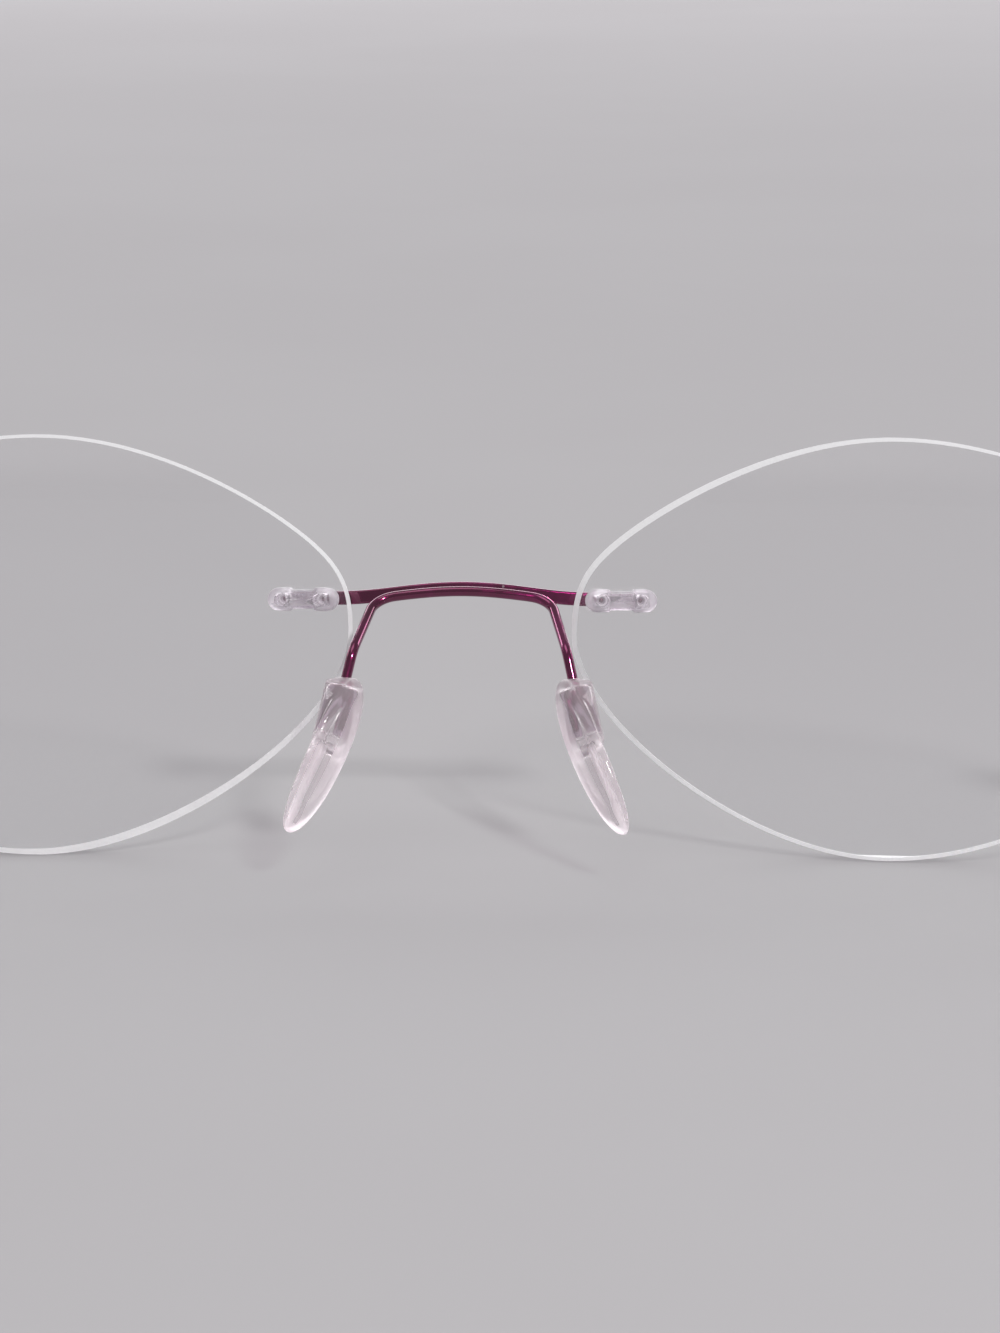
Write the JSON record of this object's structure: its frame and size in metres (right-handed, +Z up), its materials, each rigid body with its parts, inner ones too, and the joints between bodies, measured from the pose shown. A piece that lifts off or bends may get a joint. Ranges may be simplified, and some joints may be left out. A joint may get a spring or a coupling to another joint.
{
  "type": "rimless eyeglasses",
  "caption": "Rimless oval-lens eyeglasses with an arched bridge bar, clear nose pads on a bent wire arm and slim hinged wire temples, standing open.",
  "frame": {"origin": "centre of the open glasses' footprint, on the surface that they stand on", "axes": "+Z up from the surface, -Y the way the wearer looks, +Y along the temples to the ears, +X to the wearer's left"},
  "size_m": [0.1344, 0.149, 0.0342],
  "materials": {
    "clear_lens": "clear, lightly coated, edge ground matt",
    "clear_plastic": "clear, slightly milky, glossy",
    "pad_core_plastic": "clear, hard, glossy",
    "clear_silicone": "clear, soft, satin",
    "screw_steel": "bright",
    "plum_plastic": "opaque, glossy",
    "plum_metal": "dark plum lacquer over metal, glossy"
  },
  "bodies": {
    "front": {"lens_left": "clear_lens", "lens_right": "clear_lens", "bridge_bar": "plum_metal", "pad_arm_wire": "plum_metal", "nose_plug_left": "clear_plastic", "nose_plug_right": "clear_plastic", "temple_plug_left": "clear_plastic", "temple_plug_right": "clear_plastic", "endpiece_left": "plum_metal", "endpiece_right": "plum_metal", "hinge_screw_left": "screw_steel", "hinge_screw_right": "screw_steel"},
    "temple_left": {"temple_leaf_left": "plum_metal", "temple_wire_left": "plum_metal", "temple_tip_left": "plum_plastic"},
    "temple_right": {"temple_leaf_right": "plum_metal", "temple_wire_right": "plum_metal", "temple_tip_right": "plum_plastic"},
    "pad_left": {"pad_core_left": "pad_core_plastic", "nose_pad_left": "clear_silicone"},
    "pad_right": {"pad_core_right": "pad_core_plastic", "nose_pad_right": "clear_silicone"}
  },
  "joints": [
    {"name": "temple_left_fold", "type": "hinge", "parent": "front", "child": "temple_left", "pos_m": [0.066, -0.05657, 0.0223], "axis": [0, -0.061, 0.9981], "range_deg": [0, 91]},
    {"name": "temple_right_fold", "type": "hinge", "parent": "front", "child": "temple_right", "pos_m": [-0.066, -0.05657, 0.0223], "axis": [0, 0.061, -0.9981], "range_deg": [0, 85]},
    {"name": "pad_left_swivel", "type": "hinge", "parent": "front", "child": "pad_left", "pos_m": [0.00872, -0.06464, 0.01781], "axis": [-0.2131, -0.3919, 0.895], "range_deg": [-8, 8]},
    {"name": "pad_right_swivel", "type": "hinge", "parent": "front", "child": "pad_right", "pos_m": [-0.00872, -0.06464, 0.01781], "axis": [0.2131, -0.3919, 0.895], "range_deg": [-8, 8]}
  ]
}
